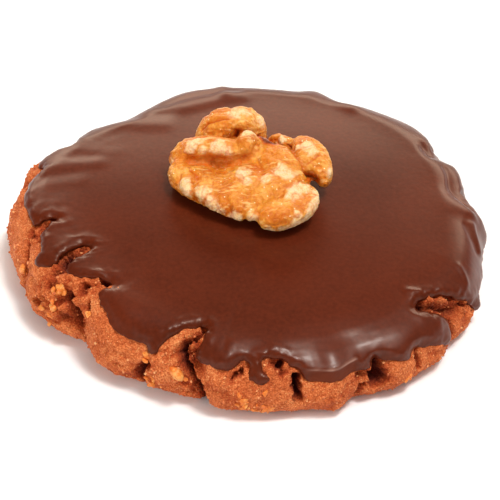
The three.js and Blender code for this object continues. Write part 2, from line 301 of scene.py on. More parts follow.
def dough_skin(degrees, arc):
    """Standoff of the dough before it cracked: its seat, its eased shoulder and its swollen lumps."""
    nearest = np.min([crack_distance(degrees, arc, points) for points, _, _ in CRACKS], axis=0)
    pillow = np.sqrt(1 - (1 - np.clip(nearest / SWELL_REACH, 0, 1)) ** 2)
    swell = SWELL * (pillow - SWELL_LEVEL) * smoothstep(arc, *SWELL_FADE)
    seat = (coat_depth(degrees, arc) + SEAT_MARGIN) * seat_share(degrees, arc)
    ease = by_angle(degrees, EASES) * bell(arc - EASE_ARC, EASE_RUN)
    above_foot = 1 - smoothstep(arc, BASE_ARC - FOOT_FADE, BASE_ARC)
    return swell * above_foot - seat - ease


def crack_depth(degrees, arc, places):
    """Depth of the cracks and holes, with their lines and rims broken up."""
    degrees = degrees + WANDER * soft_noise(places, WANDER_SIZE, 3, 11.3) / MM_PER_DEGREE
    arc = arc + WANDER * soft_noise(places, WANDER_SIZE, 3, 47.9)
    depth = spot_strength(degrees, arc, HOLES, HOLE_WALL)
    for points, width, deep in CRACKS:
        away = crack_distance(degrees, arc, points) / width
        depth = np.maximum(depth, deep * (1 - smoothstep(away, *CRACK_WALL)))
    return depth


def torn_share(degrees, arc, places):
    """How torn the crumb is, from 0 where the dough was pressed smooth to 1."""
    patches = smoothstep(soft_noise(places, 8.0, 2, 21.0), -0.3, 0.5)
    return np.maximum(TORN_LEAST + TORN_PATCHES * patches, spot_strength(degrees, arc, TORN, TORN_EDGE))


def dough_crumb(places, torn):
    """Relief of the crumb: soft lumps, and the torn crags and sandy grains on them."""
    lumps = LUMP * soft_noise(places, LUMP_SIZE, 2, 3.1)
    large = CRAG * bump_noise(places, CRAG_SIZE, 5.7)
    small = SMALL_CRAG * bump_noise(places, SMALL_CRAG_SIZE, 15.1)
    crags = torn * (large + small) + RUFFLE * soft_noise(places, RUFFLE_SIZE, 3, 27.0)
    grains = GRAIN * (1 + torn) * bump_noise(places, GRAIN_SIZE, 9.2)
    return lumps, crags + grains


def add_object(name, data):
    thing = bpy.data.objects.new(name, data)
    bpy.context.scene.collection.objects.link(thing)
    return thing


def add_piece(name, bm):
    """A finished piece, smooth shaded, with the object itself at the origin."""
    mesh = bpy.data.meshes.new(name)
    bm.to_mesh(mesh)
    bm.free()
    mesh.shade_smooth()
    return add_object(name, mesh)


def vertex_vectors(mesh, name="co"):
    vectors = np.empty(len(mesh.vertices) * 3)
    mesh.vertices.foreach_get(name, vectors)
    return vectors.reshape(-1, 3)


def place_vertices(mesh, points_mm):
    mesh.vertices.foreach_set("co", (points_mm * MM).ravel())
    mesh.update()


def keep_on_surface(mesh, **layers):
    """Stores numbers for each vertex, which a material reads by their names."""
    for name, values in layers.items():
        layer = mesh.attributes.new(name, "FLOAT", "POINT")
        layer.data.foreach_set("value", values.astype(np.float32))


def make_ball(columns, rows, lowest=math.pi):
    """A unit ball from its top down to a polar angle, rolled up from a grid and welded."""
    bm = bmesh.new()
    bmesh.ops.create_grid(bm, x_segments=columns, y_segments=rows, size=1)
    welded = [vertex for vertex in bm.verts if max(abs(vertex.co.x), abs(vertex.co.y)) > 1 - 1e-6]
    for vertex in bm.verts:
        around = math.pi * (vertex.co.x + 1)
        polar = lowest * (1 - vertex.co.y) / 2
        ring = math.sin(polar)
        vertex.co = (ring * math.cos(around), ring * math.sin(around), math.cos(polar))
    bmesh.ops.remove_doubles(bm, verts=welded, dist=1e-5)
    bm.verts.index_update()
    return bm


def ball_angles(ball):
    """Angle of each point of a ball, with the columns packed closer together at the front."""
    theta = np.arctan2(ball[:, 1], ball[:, 0])
    return np.degrees(theta - FRONT_PACK * np.sin(theta + math.pi / 2)) % 360


def dough_surface(degrees, arc):
    """Standoff of the baked dough, and how deep each place lies in its cracks and pits, which sets how dark
    its shade is painted.
    """
    skin = dough_skin(degrees, arc)
    places = on_round(degrees, arc, skin)
    depth = crack_depth(degrees, arc, places)
    torn = np.maximum(torn_share(degrees, arc, places), WALL_TORN * smoothstep(depth, *WALL_DEPTHS))
    lumps, crags = dough_crumb(places, torn)
    side = smoothstep(arc, CRUMB_START, CRUMB_FULL)
    return skin + side * (lumps + crags) - depth, depth + PIT_SHADE * np.maximum(-crags, 0)


def make_dough():
    piece = add_piece("dough_round", make_ball(DOUGH_COLUMNS, DOUGH_ROWS))
    ball = vertex_vectors(piece.data)
    degrees = ball_angles(ball)
    row = np.arccos(np.clip(ball[:, 2], -1, 1)) / math.pi
    arcs = [0, CRUMB_START, BASE_ARC, BASE_ARC + BASE_RADIUS]
    arc = np.interp(row, [0, ROWS_TO_CRUMB, ROWS_TO_BASE, 1], arcs)
    standoff, depth = dough_surface(degrees, arc)
    place_vertices(piece.data, on_round(degrees, arc, standoff))
    # The depth is kept to paint shade into the dough's colour in its cracks and pits
    keep_on_surface(piece.data, depth=depth / SHADED_DEPTH)
    return piece


def linear(red, green, blue):
    """Colour from screen values of 0 to 255, with the curve of the screen taken out."""
    channels = [v / 255 for v in (red, green, blue)]
    return (*[c / 12.92 if c <= 0.04045 else ((c + 0.055) / 1.055) ** 2.4 for c in channels], 1)


def grey(value):
    return (value, value, value, 1)


def set_inputs(tree, node, inputs):
    """Links each named input of a shader node, or gives it its value."""
    for name, value in inputs.items():
        if isinstance(value, bpy.types.NodeSocket):
            tree.links.new(value, node.inputs[name])
        else:
            node.inputs[name].default_value = value


def add_node(tree, kind, inputs=None, **settings):
    node = tree.nodes.new(kind)
    for name, value in settings.items():
        setattr(node, name, value)
    set_inputs(tree, node, inputs or {})
    return node


def add_noise(tree, place, scale, detail):
    inputs = {"Vector": place, "Scale": scale, "Detail": detail}
    return add_node(tree, "ShaderNodeTexNoise", inputs).outputs["Fac"]


def add_maths(tree, operation, first, second):
    return add_node(tree, "ShaderNodeMath", {0: first, 1: second}, operation=operation).outputs[0]


def add_ramp(tree, factor, stops):
    """Colour ramp through (position, colour) stops."""
    node = add_node(tree, "ShaderNodeValToRGB", {"Fac": factor})
    elements = node.color_ramp.elements
    while len(elements) < len(stops):
        elements.new(1)
    for element, (position, colour) in zip(elements, stops):
        element.position = position
        element.color = colour
    return node.outputs["Color"]


def add_tones(tree, tone, dark, middle, pale):
    """Colours of a mottled tone, which mostly lies near a half."""
    return add_ramp(tree, tone, [(0.36, linear(*dark)), (0.5, linear(*middle)), (0.64, linear(*pale))])


def blend(tree, factor, first, second, mode="MIX"):
    inputs = {0: factor, 6: first, 7: second}
    return add_node(tree, "ShaderNodeMix", inputs, data_type="RGBA", blend_type=mode).outputs[2]


def object_place(tree):
    return add_node(tree, "ShaderNodeTexCoord").outputs["Object"]


def add_bump(tree, scale, detail, distance, strength):
    """Normal of a skin roughened by fine noise, with its height in metres."""
    height = add_noise(tree, object_place(tree), scale, detail)
    inputs = {"Height": height, "Distance": distance, "Strength": strength}
    return add_node(tree, "ShaderNodeBump", inputs).outputs["Normal"]


def new_material(name, look):
    """A material whose shader takes the inputs that its look gives."""
    material = bpy.data.materials.new(name)
    material.use_nodes = True
    tree = material.node_tree
    set_inputs(tree, tree.nodes["Principled BSDF"], look(tree))
    return material


def surface_value(tree, name):
    return add_node(tree, "ShaderNodeAttribute", attribute_name=name).outputs["Fac"]


def new_group(name, inputs, output):
    """A node group that takes numbers and gives one, and the sockets that bring the numbers in."""
    group = bpy.data.node_groups.new(name, "ShaderNodeTree")
    for label in inputs:
        group.interface.new_socket(label, in_out="INPUT", socket_type="NodeSocketFloat")
    group.interface.new_socket(output, in_out="OUTPUT", socket_type="NodeSocketFloat")
    return group, add_node(group, "NodeGroupInput").outputs


def make_mottle_group():
    """Broken tone of baked and roasted things: broad patches with fine grain over them."""
    group, sockets = new_group("mottle", ["Patch Scale", "Grain Scale", "Grain Share"], "Tone")
    place = object_place(group)
    patch = add_noise(group, place, sockets["Patch Scale"], 4.0)
    grain = add_noise(group, place, sockets["Grain Scale"], 2.0)
    tone = add_node(group, "ShaderNodeMix", {0: sockets["Grain Share"], 2: patch, 3: grain})
    add_node(group, "NodeGroupOutput", {"Tone": tone.outputs[0]})
    return group


mottle_group = make_mottle_group()


def mottle(tree, patch_scale, grain_scale, grain_share):
    inputs = {"Patch Scale": patch_scale, "Grain Scale": grain_scale, "Grain Share": grain_share}
    return add_node(tree, "ShaderNodeGroup", inputs, node_tree=mottle_group).outputs["Tone"]


def make_speck_group():
    """Scattered round grains of sugar or crumb: a mask that is 1 in a share of small cells."""
    group, sockets = new_group("specks", ["Scale", "Size", "Share"], "Mask")
    inputs = {"Vector": object_place(group), "Scale": sockets["Scale"]}
    cells = add_node(group, "ShaderNodeTexVoronoi", inputs).outputs
    near = add_maths(group, "LESS_THAN", cells["Distance"], sockets["Size"])
    chance = add_node(group, "ShaderNodeSeparateColor", {"Color": cells["Color"]}).outputs["Red"]
    chosen = add_maths(group, "LESS_THAN", chance, sockets["Share"])
    add_node(group, "NodeGroupOutput", {"Mask": add_maths(group, "MULTIPLY", near, chosen)})
    return group


speck_group = make_speck_group()


def specks(tree, scale, size, share):
    inputs = {"Scale": scale, "Size": size, "Share": share}
    return add_node(tree, "ShaderNodeGroup", inputs, node_tree=speck_group).outputs["Mask"]


def dough_look(tree):
    tone = mottle(tree, patch_scale=260.0, grain_scale=3600.0, grain_share=0.65)
    crumb = add_tones(tree, tone, (178, 78, 31), (212, 107, 53), (236, 148, 88))
    gold = specks(tree, scale=3000.0, size=0.3, share=0.09)
    sandy = blend(tree, gold, crumb, linear(240, 172, 104))
    # Painted shade: the dough is coloured darker the deeper it lies in its cracks, holes and pits
    shade = add_ramp(tree, surface_value(tree, "depth"), [
        (0.0, grey(1)),
        (0.25, linear(212, 172, 146)),
        (1.0, linear(112, 62, 40)),
    ])
    return {
        "Base Color": blend(tree, 1.0, sandy, shade, "MULTIPLY"),
        "Normal": add_bump(tree, scale=2200.0, detail=3.0, distance=0.0008, strength=0.9),
        "Roughness": 0.8,
        "Specular IOR Level": 0.3,
    }


dough = make_dough()
dough.data.materials.append(new_material("baked_dough", dough_look))
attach(dough, "root")
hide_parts("biscuit")

# The coat of icing: cocoa and icing sugar beaten with butter, spread on while soft and left to
# set. It has run over the rim in drips, and stops short in bays where the dough below is split.
UNDERSIDE = 0.4
# Least thickness, which the relief comes on top of
FILM = 0.1
# Share of its thickness that the icing keeps in its drips
DRIP_SHARE = 0.8
# Run of the rounded lip: angle, width. It is a long feathered slope at the left front.
LIPS = [
    (0, 1.6), (60, 1.4), (120, 1.6), (150, 2.2), (180, 1.6), (195, 0.9), (215, 0.9), (223, 4.5),
    (236, 4.0), (243, 1.6), (256, 1.2), (262, 2.2), (270, 1.2), (278, 1.2), (297, 1.8), (306, 2.6),
    (316, 2.2), (328, 1.2), (345, 1.6),
]
LIP_CHANGE = 0.3
# The wider the lip, the less full it is: width, power of its curve
LIP_POWERS = [(1.2, 0.65), (2.2, 0.85), (4.5, 0.95)]
# A stretch of the front edge that broke off flat: its angles and how they fade, arc of its rim,
# least run of its face
BREAK_FROM, BREAK_TO, BREAK_FADE = 283, 295.5, 1
BREAK_RIM = 42
BREAK_RUN = 0.5
# Burr along the rim of the break: height, half width
BURR, BURR_WIDTH = 0.16, 0.6
# Arc lengths between which the rim turns to the face of the break
BREAK_FACE = (BREAK_RIM + 0.1, BREAK_RIM + 0.4)
# Painted highlight, a pale line along the rim of the break: strength, half width
RIM_HIGHLIGHT, RIM_HIGHLIGHT_WIDTH = 0.7, 0.16
# Distances from the edge between which the hem fades in, and out again
HEM_IN = (0.4, 1.6)
HEM_OUT = (3, 13)
# Beads along the edge: height, half width, distance from the edge
BEAD, BEAD_WIDTH, BEAD_INSET = 0.12, 1.0, 1.4
DIMPLE, DIMPLE_WIDTH, DIMPLE_INSET = 0.2, 0.6, 0.7
# Ripples across the hem and streaks down it
RIPPLE, STREAK = 0.05, 0.025
# Folds left by the knife: angle and arc at both ends, half width, height
FOLDS = [
    (173.5, 40, 167.5, 30, 1.6, 0.06), (169.5, 41, 164, 32, 1.4, -0.05),
    (180, 39, 178, 33, 1.3, 0.05), (165.5, 41, 157, 30, 1.8, 0.14), (161, 41, 154, 32, 1.4, -0.04),
    (157, 41, 149, 30, 1.8, 0.05), (140, 40, 125, 31, 2.2, 0.14), (131.5, 40, 121, 34, 1.8, -0.14),
    (113.5, 33.5, 94.5, 33.8, 1.8, 0.2), (118, 37, 96, 37, 1.5, -0.3),
    (99, 41, 99, 35.5, 1.6, 0.35), (72, 41, 60, 37, 1.8, 0.3), (47, 42, 36.5, 39.5, 1.6, 0.3),
    (33, 38, 29, 39, 1.2, -0.4), (22.5, 38.8, 6.5, 40.2, 0.8, -0.3),
    (6.5, 40.2, 3, 42.5, 0.9, -0.25), (24, 41.5, 8, 42.5, 1.3, 0.45),
    (357, 39.6, 350, 42.4, 0.8, -0.15), (359, 41.2, 352, 43.6, 0.9, 0.4),
    (339, 39.2, 336.5, 42, 0.7, 0.25), (262.5, 40.5, 264, 37.5, 2.0, 0.3),
    (275, 39.4, 275, 37.6, 1.6, 0.3), (290, 39.6, 294, 41.4, 2.2, 0.2),
    (306, 38, 309, 40, 3.0, 0.15), (321.6, 35.4, 320.5, 34, 0.9, 0.3),
    (319, 33, 316.5, 38, 1.0, -0.1), (262, 38.5, 264.5, 27, 0.7, -0.12),
]
# Drips: angle, arc and radius at the root, the same at the end
DRIPS = [
    (197.5, 37.5, 2.0, 199.5, 39.4, 2.1), (242.6, 40.4, 1.6, 242.8, 42.4, 1.1),
    (270.5, 39.8, 0.7, 270.6, 42.2, 0.65), (269.1, 43.2, 0.7, 272.9, 43.4, 0.75),
    (270.6, 42.7, 0.8, 271.2, 43.4, 1.05), (318.5, 43.6, 2.4, 322.4, 45.2, 2.2),
    (339, 45, 2.0, 338.6, 47.2, 1.7), (20, 45, 2.4, 20, 47.2, 2.0), (62, 44, 2.4, 62, 46.8, 2.0),
    (106, 44, 2.4, 106, 46.6, 2.0), (133, 42.6, 2.0, 133, 44.4, 1.6),
]
# Bays in the edge: angle, arc and radius at the mouth, the same at the tip
NOTCHES = [
    (205, 41, 1.6, 201.4, 32.6, 1.2), (189.5, 41.5, 1.4, 185.6, 34.8, 0.75),
    (212.5, 43, 3.0, 219.2, 35.7, 1.3), (250, 44.5, 3.2, 254.6, 35, 0.8),
    (246.5, 43.5, 2.4, 251.8, 37.4, 1.5), (265.8, 44.8, 1.6, 267.3, 41.7, 1.15),
    (275, 45.5, 1.6, 273.3, 41.1, 1.25), (277.4, 44.4, 1.4, 276.5, 41, 0.9),
    (279.8, 45, 1.4, 279.6, 43, 1.1), (301.4, 46.6, 1.0, 300.8, 43.7, 0.6),
    (312.5, 47.5, 1.4, 311.5, 45.3, 0.9), (334, 49.5, 3.2, 320.4, 37.8, 1.4),
    (14, 50, 2.0, 13.5, 43.6, 0.9), (33, 49, 1.6, 34.5, 42.5, 0.9), (84, 49, 1.8, 83, 42.6, 1.0),
    (149, 43.5, 2.0, 149.5, 40.0, 1.4), (162.5, 44, 1.8, 163.2, 39.6, 1.2),
]
# How ragged the edge is: angle, reach of its teeth
RAGGED = [
    (150, 0.26), (172, 0.5), (222, 0.5), (230, 0.26), (316, 0.26), (324, 0.45), (338, 0.45), (344, 0.26),
]
TOOTH_SIZE = 2.4
# How softly the bays and drips run into the edge
NOTCH_ROUNDING, DRIP_ROUNDING = 1.8, 0.8
COAT_COLUMNS = 640
COAT_ROWS = 86
COAT_REACH = 50
# The rows lie closer and closer towards the edge: power of their share of the way out
ROW_PACK = 0.35
# How the sheet is pulled in to its edge
PULLS = 4
LONGEST_PULL = 0.6
LEAST_SLOPE = 0.2
SLOPE_STEP = 0.02
WELD = 0.05


def on_plan(degrees, arc):
    return polar(np.radians(degrees), arc)


def off_plan(plan):
    """Angle and arc length of points on the unrolled plan."""
    return np.degrees(np.arctan2(plan[:, 1], plan[:, 0])) % 360, np.linalg.norm(plan, axis=1)


def plan_noise(plan, size, octaves, shift):
    return soft_noise(np.column_stack([plan, np.zeros(len(plan))]), size, octaves, shift)


def slot_distance(plan, slot):
    """Distance outside a round-ended slot that tapers from its first end to its second."""
    offset, along = from_line(plan, on_plan(*slot[:2]), on_plan(*slot[3:5]))
    return np.linalg.norm(offset, axis=1) - (slot[2] + (slot[5] - slot[2]) * along)


def soft_min(a, b, rounding):
    share = np.clip(0.5 + 0.5 * (b - a) / rounding, 0, 1)
    return b + (a - b) * share - rounding * share * (1 - share)


def inside_coat(plan):
    """Distance inside the edge of the icing on the unrolled plan, less than 0 outside it."""
    degrees, arc = off_plan(plan)
    inside = coat_level(degrees) - arc
    for notch in NOTCHES:
        inside = soft_min(inside, slot_distance(plan, notch), NOTCH_ROUNDING)
    for drip in DRIPS:
        inside = -soft_min(-inside, slot_distance(plan, drip), DRIP_ROUNDING)
    return inside + plan_noise(plan, TOOTH_SIZE, 3, 61.0) * by_angle(degrees, RAGGED)


def broken_share(degrees):
    """1 along the stretch of the edge that broke off."""
    begun = smoothstep(degrees, BREAK_FROM - BREAK_FADE, BREAK_FROM + BREAK_FADE)
    ended = smoothstep(degrees, BREAK_TO - BREAK_FADE, BREAK_TO + BREAK_FADE)
    return begun - ended


def coat_lip(degrees, arc, plan, inside):
    """Rise of the icing from its edge: rounded, feathered, or straight where it broke off."""
    lip = by_angle(degrees, LIPS) * (1 + LIP_CHANGE * plan_noise(plan, 6.0, 2, 71.0))
    fall = 1 - np.clip(inside / lip, 0, 1)
    rounded = (1 - fall * fall) ** np.interp(lip, *zip(*LIP_POWERS))
    run = np.maximum(inside + arc - BREAK_RIM, BREAK_RUN)
    burr = BURR * bell(arc - BREAK_RIM, BURR_WIDTH)
    return rounded + broken_share(degrees) * (np.clip(inside / run, 0, 1) + burr - rounded)


def hem_share(degrees, arc):
    """1 at the hem of the icing, fading to 0 on its flat top."""
    return 1 - smoothstep(coat_level(degrees) - arc, *HEM_OUT)


def coat_relief(degrees, arc, plan, inside):
    """Height of the set icing over the dough: its lip with a beaded rim, ripples, streaks and folds."""
    bead = BEAD * bell(inside - BEAD_INSET, BEAD_WIDTH) * (1 + 1.4 * plan_noise(plan, 2.0, 2, 91.0))
    dimples = DIMPLE * bell(inside - DIMPLE_INSET, DIMPLE_WIDTH) * plan_noise(plan, 0.9, 2, 95.0)
    swirl = np.column_stack([plan * 0.16, arc * 0.42])
    down = np.column_stack([degrees * MM_PER_DEGREE, arc * 0.12, np.zeros(len(arc))])
    ripples = RIPPLE * soft_noise(swirl, 1.0, 2, 83.0) + STREAK * soft_noise(down, 1.5, 2, 87.0)
    kept = np.maximum(seat_share(degrees, arc), DRIP_SHARE)
    height = coat_depth(degrees, arc) * kept + bead + dimples + ripples * hem_share(degrees, arc)
    for *ends, width, fold in FOLDS:
        offset, _ = from_line(plan, on_plan(*ends[:2]), on_plan(*ends[2:]))
        height = height + fold * bell(np.linalg.norm(offset, axis=1), width)
    return coat_lip(degrees, arc, plan, inside) * height


def cut_sheet():
    """A flat sheet of icing on the unrolled plan, trimmed and drawn in to its edge."""
    bm = make_ball(COAT_COLUMNS, COAT_ROWS, math.pi / 2)
    ball = np.array([vertex.co for vertex in bm.verts])
    row = np.arccos(np.clip(ball[:, 2], 0, 1)) / (math.pi / 2)
    arc = COAT_REACH * row ** ROW_PACK
    plan = on_plan(ball_angles(ball), arc)
    kept = inside_coat(plan) > 0
    bare = [face for face in bm.faces if not any(kept[vertex.index] for vertex in face.verts)]
    for _ in range(PULLS):
        inside = inside_coat(plan)
        slope_x = (inside_coat(plan + [SLOPE_STEP, 0]) - inside) / SLOPE_STEP
        slope_y = (inside_coat(plan + [0, SLOPE_STEP]) - inside) / SLOPE_STEP
        slope = np.stack([slope_x, slope_y], axis=-1)
        pull = np.minimum(np.where(kept, 0, -inside), LONGEST_PULL)
        plan = plan + slope * (pull / np.maximum((slope ** 2).sum(axis=1), LEAST_SLOPE))[:, None]
    for vertex in bm.verts:
        vertex.co = (*plan[vertex.index], 0)
    bmesh.ops.delete(bm, geom=bare, context="FACES")
    bmesh.ops.remove_doubles(bm, verts=bm.verts[:], dist=WELD)
    return bm


def make_icing():
    bm = cut_sheet()
    raised = bmesh.ops.extrude_face_region(bm, geom=bm.faces[:], use_keep_orig=True)["geom"]
    for part in raised:
        if isinstance(part, bmesh.types.BMVert):
            part.co.z = 1
    bmesh.ops.recalc_face_normals(bm, faces=bm.faces[:])
    piece = add_piece("icing_coat", bm)
    sheet = vertex_vectors(piece.data)
    plan = sheet[:, :2]
    degrees, arc = off_plan(plan)
    inside = np.maximum(inside_coat(plan), 0)
    relief = coat_relief(degrees, arc, plan, inside)
    standoff = np.where(sheet[:, 2] > 0.5, FILM + relief, -UNDERSIDE)
    place_vertices(piece.data, on_round(degrees, arc, dough_skin(degrees, arc) + standoff))
    broken = broken_share(degrees)
    # A painted highlight along the rim of the break, broken up by noise
    rim = bell(arc - BREAK_FACE[0], RIM_HIGHLIGHT_WIDTH) * (1 + soft_noise(sheet, 1.6, 2, 97.0))
    face = broken * smoothstep(arc, *BREAK_FACE)
    hem = hem_share(degrees, arc) * smoothstep(inside, *HEM_IN)
    keep_on_surface(piece.data, broken=face, chipped=RIM_HIGHLIGHT * broken ** 2 * rim, hem=hem)
    return piece


def icing_look(tree):
    tone = mottle(tree, patch_scale=60.0, grain_scale=1400.0, grain_share=0.5)
    set_skin = add_ramp(tree, tone, [(0.32, linear(75, 27, 12)), (0.68, linear(95, 36, 17))])
    broken = surface_value(tree, "broken")
    cut = blend(tree, broken, set_skin, linear(100, 43, 25))
    hem = surface_value(tree, "hem")
    smeared = blend(tree, hem, grey(0.03), grey(0.3))
    gloss = add_ramp(tree, tone, [(0.3, grey(0.28)), (0.7, grey(0.31))])
    brushed = blend(tree, hem, gloss, grey(0.4))
    return {
        # Painted highlight: a pale line along the rim of the break
        "Base Color": blend(tree, surface_value(tree, "chipped"), cut, linear(190, 146, 128)),
        "Roughness": blend(tree, broken, brushed, grey(0.7)),
        "Coat Weight": blend(tree, broken, smeared, grey(0)),
        "Normal": add_bump(tree, scale=700.0, detail=3.0, distance=0.0001, strength=0.2),
        "Specular Tint": (1, 0.78, 0.62, 1),
        "Specular IOR Level": 0.2,
        "Coat Roughness": 0.24,
        "Coat Tint": (1, 0.97, 0.94, 1),
    }


icing = make_icing()
icing.data.materials.append(new_material("chocolate_icing", icing_look))
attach(icing, "root")
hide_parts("icing")

# The cornflakes: toasted flakes that were crushed into the dough before it was shaped. Broken bits
# of them stand out of the bare side, golden because the cocoa does not reach inside them.
# Bits that show at the front and left: angle, arc, spread, count, length. Those without spread lie
# down to the right, along the crack.
FLAKES = [
    (250.5, 45.4, 0, 1, 4.6), (252, 46.6, 0, 1, 1.8), (267.4, 48.3, 1.2, 24, 0.9),
    (269.6, 49.6, 0.4, 3, 0.9), (272.6, 45.6, 0.4, 2, 1.3), (272.6, 49.4, 1.6, 18, 0.8),
    (242, 44.8, 0.7, 4, 1.4), (244, 49, 1.2, 6, 1.2), (209, 43.2, 0.9, 3, 1.4),
    (208.5, 45, 1.2, 4, 1.3), (221, 43, 0.7, 3, 1.2), (208.5, 48, 1.8, 8, 1.2),
    (210, 42, 0.5, 2, 1.1), (193, 46, 0.8, 3, 1.2), (308, 48.5, 0.8, 4, 1.1),
]
FLAKE_TURN = math.radians(-36)
# Bits all round the back take random places
BACK_FLAKES = 15
BACK_ANGLES = (345, 530)
BACK_ARCS = (47, 52)
BACK_SPREADS = (0.4, 1.4)
BACK_COUNTS = (2, 6)
BACK_LENGTHS = (1.0, 2.2)
# How the bits of one place differ from each other
SCATTER = 0.6
LENGTH_SHARES = (0.6, 1.5)
TURNS = 3
LEANS = (-0.6, 0.6)
# Shape of a bit, as shares of its length
HALF_LENGTH = 0.5
HALF_WIDTHS = (0.25, 0.4)
HALF_HEIGHT = 0.3
FLAKE_WEAR = 0.3


def surface_frames(degrees, arc, standoff):
    """Places on the round as matrices in mm: around, down the side, straight out, and the point."""
    theta = np.radians(degrees)
    _, _, outward, upward = round_section(arc)
    out = polar(theta, outward, upward)
    out = out / np.linalg.norm(out, axis=1, keepdims=True)
    around = np.stack([-np.sin(theta), np.cos(theta), np.zeros_like(theta)], axis=-1)
    frames = np.zeros((len(degrees), 4, 4))
    frames[:, :3, 0] = around
    frames[:, :3, 1] = np.cross(out, around)
    frames[:, :3, 2] = out
    frames[:, :3, 3] = on_round(degrees, arc, standoff)
    frames[:, 3, 3] = 1
    return frames


def stray_noise(points, size, octaves, shifts):
    """Noise along each of the three axes."""
    return np.column_stack([soft_noise(points, size, octaves, shift) for shift in shifts])


def join_copies(name, shape, frames, wear):
    """One piece made of many copies of a small shape, worn at the corners and clear of the table."""
    corners = np.array([(*vertex.co, 1) for vertex in shape.verts])
    faces = np.array([[vertex.index for vertex in face.verts] for face in shape.faces])
    shape.free()
    copies = np.einsum("nij,vj->nvi", frames, corners)[..., :3]
    copies[..., 2] += np.maximum(wear - copies[..., 2].min(axis=1), 0)[:, None]
    points = copies.reshape(-1, 3)
    worn = points + wear * stray_noise(points, wear * 3, 1, (5.0, 25.0, 45.0))
    first = np.arange(len(frames))[:, None, None] * len(corners)
    all_faces = (faces + first).reshape(-1, faces.shape[1])
    mesh = bpy.data.meshes.new(name)
    mesh.from_pydata((worn * MM).tolist(), [], all_faces.tolist())
    mesh.shade_smooth()
    return add_object(name, mesh)


def small_ball(subdivisions):
    bm = bmesh.new()
    bmesh.ops.create_icosphere(bm, subdivisions=subdivisions, radius=1)
    return bm


def flake_spots(draw):
    """The places with bits that show, and random ones all round the back."""
    spots = list(FLAKES)
    for _ in range(BACK_FLAKES):
        angle = draw.uniform(*BACK_ANGLES)
        arc = draw.uniform(*BACK_ARCS)
        spread = draw.uniform(*BACK_SPREADS)
        count = draw.randint(*BACK_COUNTS)
        spots.append((angle, arc, spread, count, draw.uniform(*BACK_LENGTHS)))
    return spots


def make_flakes():
    draw = random.Random(31)
    bits = []
    for angle, arc, spread, count, length in flake_spots(draw):
        for _ in range(count):
            aside = draw.gauss(0, SCATTER) * spread / MM_PER_DEGREE
            down = draw.gauss(0, SCATTER) * spread
            bits.append((angle + aside, arc + down, length * draw.uniform(*LENGTH_SHARES), spread))
    angle, arc, length, spread = np.array(bits).T
    standoff, _ = dough_surface(angle % 360, arc)
    frames = surface_frames(angle, arc, standoff)
    for place, size, loose in zip(frames, length, spread):
        spin = Matrix.Rotation(FLAKE_TURN + draw.gauss(0, TURNS) * loose, 3, "Z")
        lean = Matrix.Rotation(draw.uniform(*LEANS), 3, "X")
        shape = Matrix.Diagonal((size * HALF_LENGTH, size * draw.uniform(*HALF_WIDTHS), size * HALF_HEIGHT))
        place[:3, :3] = place[:3, :3] @ np.array(spin @ lean @ shape)
    return join_copies("cornflake_bits", small_ball(2), frames, FLAKE_WEAR)


def flake_look(tree):
    tone = mottle(tree, patch_scale=500.0, grain_scale=2400.0, grain_share=0.4)
    return {
        "Base Color": add_tones(tree, tone, (214, 98, 22), (231, 130, 46), (242, 170, 92)),
        "Normal": add_bump(tree, scale=2600.0, detail=3.0, distance=0.0004, strength=0.6),
        "Roughness": 0.5,
    }


flakes = make_flakes()
flakes.data.materials.append(new_material("toasted_flake", flake_look))
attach(flakes, "root")

# The crumbs: grains of sugar and of the baked dough itself, loose on the bare side and in the bays
# of the icing. They cling where the dough crumbled as it split.
CRUMBS = 2600
CRUMB_SIZES = (0.1, 0.3)
CRUMB_ARCS = (CRUMB_START + 3, BASE_ARC - 0.5)
CRUMB_GAP = 0.4
# Share of its size by which a crumb stands out, and how uneven it is
CRUMB_LIFT = 0.3
CRUMB_STRETCH = (0.7, 1.3)
CRUMB_WEAR = 0.06


def make_crumbs():
    draw = np.random.default_rng(17)
    angle = draw.uniform(0, 360, CRUMBS)
    arc = draw.uniform(*CRUMB_ARCS, CRUMBS)
    bare = inside_coat(on_plan(angle, arc)) < -CRUMB_GAP
    angle, arc = angle[bare], arc[bare]
    size = CRUMB_SIZES[0] + (CRUMB_SIZES[1] - CRUMB_SIZES[0]) * draw.random(len(angle)) ** 2
    standoff, _ = dough_surface(angle, arc)
    frames = surface_frames(angle, arc, standoff + CRUMB_LIFT * size)
    frames[:, :3, :3] *= size[:, None, None] * draw.uniform(*CRUMB_STRETCH, (len(angle), 1, 3))
    return join_copies("crumbs", small_ball(1), frames, CRUMB_WEAR)


def crumb_look(tree):
    tone = mottle(tree, patch_scale=700.0, grain_scale=1500.0, grain_share=0.5)
    return {
        "Base Color": add_tones(tree, tone, (176, 80, 34), (216, 118, 62), (242, 180, 118)),
        "Roughness": 0.6,
    }


crumbs = make_crumbs()
crumbs.data.materials.append(new_material("loose_crumb", crumb_look))
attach(crumbs, "root")

